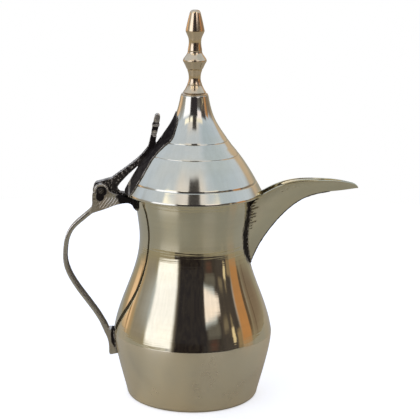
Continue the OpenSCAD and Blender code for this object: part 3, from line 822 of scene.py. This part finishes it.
# ---------------------------------------------------------------- floor, light and camera
# The room that the metal reflects. Each patch has its azimuth from the front towards the spout, its height
# above the horizon, how softly it ends, all in degrees, and its colour. Later patches cover earlier ones.
ROOM = [
    # walls all round, then the warm wall and the grey post on the handle's side
    (-200, 200, -95, 13, 9, (0.37, 0.35, 0.30)),
    (-152, -104, -9, 10, 5, (0.52, 0.39, 0.28)),
    (-133, -112, -9, 11, 2.5, (1.05, 0.76, 0.58)),
    (-119, -116, -9, 10, 1.2, (0.34, 0.23, 0.14)),
    (-103, -78, -9, 24, 4, (0.33, 0.31, 0.31)),
    # the ceiling, and the bright ends of it over the front
    (40, 124, 16, 110, 16, (0.53, 0.64, 0.84)),
    (-95, 35, 0, 110, 17, (0.66, 0.75, 0.97)),
    (-40, 26, 28, 52, 10, (0.95, 0.90, 0.96)),
    (-60, -3, 28.5, 40, 2.5, (1.50, 1.45, 1.40)),
    (14, 52, 28.5, 40, 2.5, (1.15, 1.10, 1.05)),
    # dark furniture at the front right, with a small window over it
    (40, 77, -9, 29, 2.5, (0.070, 0.062, 0.070)),
    (19, 47, 19.4, 33, 1.4, (1.28, 1.20, 1.40)),
    (10, 46, -9, 18.5, 2.5, (0.050, 0.044, 0.050)),
    (23, 43, 7, 18, 3, (0.15, 0.148, 0.16)),
    (26, 37, -4, 8, 4, (0.11, 0.060, 0.058)),
    # a dark figure at the front, with a paler bar down one side
    (-38, 21, -9, 29.5, 1.5, (0.029, 0.027, 0.038)),
    (-38, 16, -9, 6, 2.5, (0.016, 0.013, 0.018)),
    (-34, -27, -6, 40, 3.5, (0.24, 0.225, 0.235)),
    # the large window at the front left, and the dark beam over the figure
    (-73, -31, -4.5, 27, 3.2, (1.45, 1.53, 1.94)),
    (-11, 14, 26, 53, 2, (0.060, 0.056, 0.062)),
    # narrow lights, then the orange wall and its dark edges on the spout's side
    (50, 57, 10, 18, 2, (0.22, 0.19, 0.165)),
    (62.5, 65, -1.2, 17, 1.2, (0.30, 0.25, 0.20)),
    (61.5, 66, 0, 12, 1.2, (0.95, 0.82, 0.62)),
    (70, 77, -6, 9, 2, (0.34, 0.26, 0.18)),
    (78, 97, -9, 22, 2.5, (0.56, 0.29, 0.14)),
    (96, 101, -6, 17, 1.2, (0.12, 0.085, 0.065)),
    (102, 142, -9, 13, 6, (0.25, 0.20, 0.175)),
    (110, 112, -7, 16, 1.2, (0.14, 0.10, 0.08)),
    # the warm wall behind the spout
    (131, 176, -2, 46, 6, (0.62, 0.50, 0.40)),
]
SKY = (0.63, 0.74, 1.00)


def make_room():
    """The room in the reflections, and the plain backdrop that the camera sees instead."""
    world = bpy.data.worlds.new("room")
    SCENE.world = world
    t = Tree(world)
    way = t.add("TexCoord").outputs["Generated"]
    x, y, z = t.add("SeparateXYZ", way).outputs
    degrees = 180 / math.pi
    azimuth = t.math("MULTIPLY", t.math("ARCTAN2", x, t.math("MULTIPLY", y, -1.0)), degrees)
    height = t.math("MULTIPLY", t.math("ARCSINE", z), degrees)
    uneven = t.noise(way, 5.0, 4.0, 0.4)
    sway = t.math("MULTIPLY", t.math("SUBTRACT", uneven, 0.5), 5.0)
    azimuth = t.math("ADD", azimuth, sway)
    height = t.math("ADD", height, t.math("MULTIPLY", sway, 0.5))
    colour = rgba(SKY)
    for az0, az1, el0, el1, soft, tone in ROOM:
        # a patch at the side fades in slowly above the table
        foot = soft if az0 > -75 and az1 < 80 else max(soft, 6)
        share = t.math("MULTIPLY", t.fade(azimuth, az0 - soft, az0 + soft),
                       t.fade(height, el0, el0 + 2 * foot))
        for angle, high in ((azimuth, az1), (height, el1)):
            share = t.math("MULTIPLY", share, t.fade(angle, high - soft, high + soft, 1, 0))
        colour = t.mix(share, colour, rgba(tone))
    blot = t.fade(t.noise(way, 14.0, 5.0, 0.5), 0.35, 0.65, 0.0, 0.10)
    mottled = t.mix(blot, colour, (0.2, 0.18, 0.16, 1))
    room = t.add("Background", mottled)
    backdrop = t.add("Background", (1, 1, 1, 1))
    seen = t.add("LightPath").outputs["Is Camera Ray"]
    both = t.add("MixShader", seen, room.outputs[0], backdrop.outputs[0])
    t.put(t.add("OutputWorld").inputs["Surface"], both.outputs[0])


def make_floor():
    """A table top, darker in the reflections than it looks from the camera."""
    radius, sides = 660.0, 96
    mesh = bpy.data.meshes.new("floor")
    bm = bmesh.new()
    bmesh.ops.create_circle(bm, cap_ends=True, segments=sides, radius=radius * MM)
    bm.to_mesh(mesh)
    bm.free()
    floor = bpy.data.objects.new("floor", mesh)
    # a little below the base, so that the two faces don't coincide
    floor.location.z = -0.0002
    SCENE.collection.objects.link(floor)
    paint = bpy.data.materials.new("floor")
    t = Tree(paint)
    x, y, _ = t.add("SeparateXYZ", t.add("TexCoord").outputs["Object"]).outputs
    bearing = t.math("ARCTAN2", x, t.math("MULTIPLY", y, -1.0))
    glare = t.math("MULTIPLY", t.fade(bearing, -1.3, -0.85), t.fade(bearing, -0.75, -0.35, 1.0, 0.0))
    top = t.add("BsdfPrincipled", Base_Color=(0.34, 0.33, 0.29, 1), Roughness=0.32,
                Emission_Color=(1.0, 0.93, 0.78, 1), Emission_Strength=t.fade(glare, 0.0, 1.0, 0.10, 0.15))
    pale = t.add("BsdfDiffuse", (0.86, 0.86, 0.85, 1))
    glow = t.add("Emission", (1, 1, 1, 1), 0.58)
    bright = t.add("AddShader", pale.outputs[0], glow.outputs[0])
    seen = t.add("LightPath").outputs["Is Camera Ray"]
    both = t.add("MixShader", seen, top.outputs[0], bright.outputs[0])
    t.put(t.add("OutputMaterial").inputs["Surface"], both.outputs[0])
    mesh.materials.append(paint)


def make_camera():
    data = bpy.data.cameras.new("camera")
    data.sensor_width = 36
    data.lens = 122.7
    camera = bpy.data.objects.new("camera", data)
    SCENE.collection.objects.link(camera)
    yaw, pitch, roll = math.radians(0.675), math.radians(13.29), math.radians(0.64)
    ahead = Vector((math.sin(yaw) * math.cos(pitch), math.cos(yaw) * math.cos(pitch), -math.sin(pitch)))
    camera.location = (0, -1.0, 0.373)
    camera.rotation_mode = "QUATERNION"
    camera.rotation_quaternion = ahead.to_track_quat("-Z", "Y") @ Quaternion((0, 0, 1), roll)
    SCENE.camera = camera


def dress_fasteners():
    """The stud, washer and nut under the lid keep their CAD shape."""
    for node in ("finial_stud", "finial_washer", "finial_nut"):
        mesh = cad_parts[node].data
        mesh.materials.clear()
        mesh.materials.append(pin_brass)


make_vessel()
make_spout()
make_handle()
make_pin()
make_bracket()
make_lid()
make_finial()
dress_fasteners()
make_room()
make_floor()
make_camera()
SCENE.view_settings.view_transform = "Standard"
